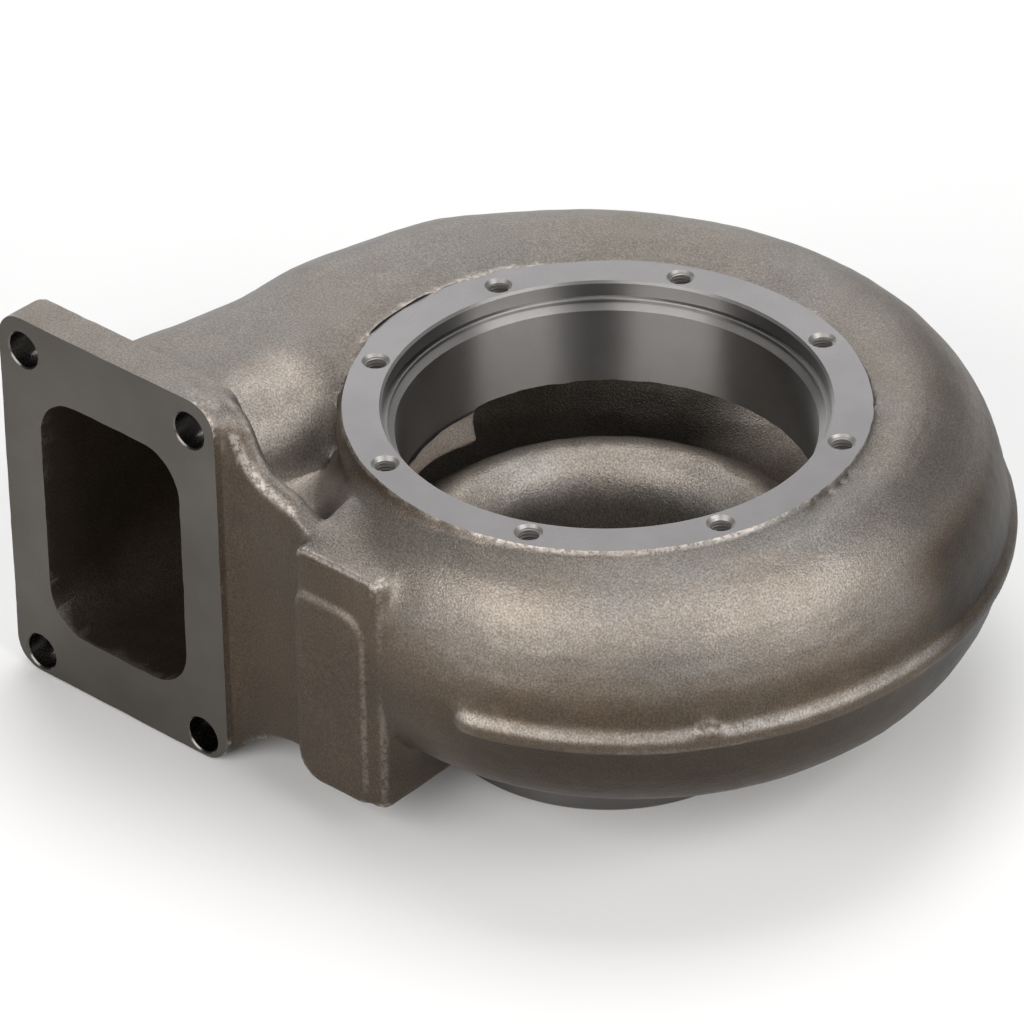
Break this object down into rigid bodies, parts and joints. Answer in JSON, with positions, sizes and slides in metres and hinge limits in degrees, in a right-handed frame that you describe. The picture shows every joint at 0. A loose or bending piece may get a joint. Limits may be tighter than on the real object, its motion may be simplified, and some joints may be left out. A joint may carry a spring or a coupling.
{
  "type": "turbocharger turbine housing",
  "caption": "One-piece cast turbine housing: spiral scroll round a machined bore, square inlet flange, round outlet ring and a ring of tapped holes in the bearing face.",
  "frame": {"origin": "centre of the machined bearing face, on the turbine shaft axis", "axes": "+Z along the shaft axis out of the bearing face, -Y out of the inlet flange face, the inlet lies on the -X side"},
  "size_m": [0.2971, 0.2597, 0.1415],
  "materials": {
    "cast_iron": "sand-cast skin with machined faces"
  },
  "bodies": {
    "root": {"turbine_housing": "cast_iron"}
  },
  "joints": []
}
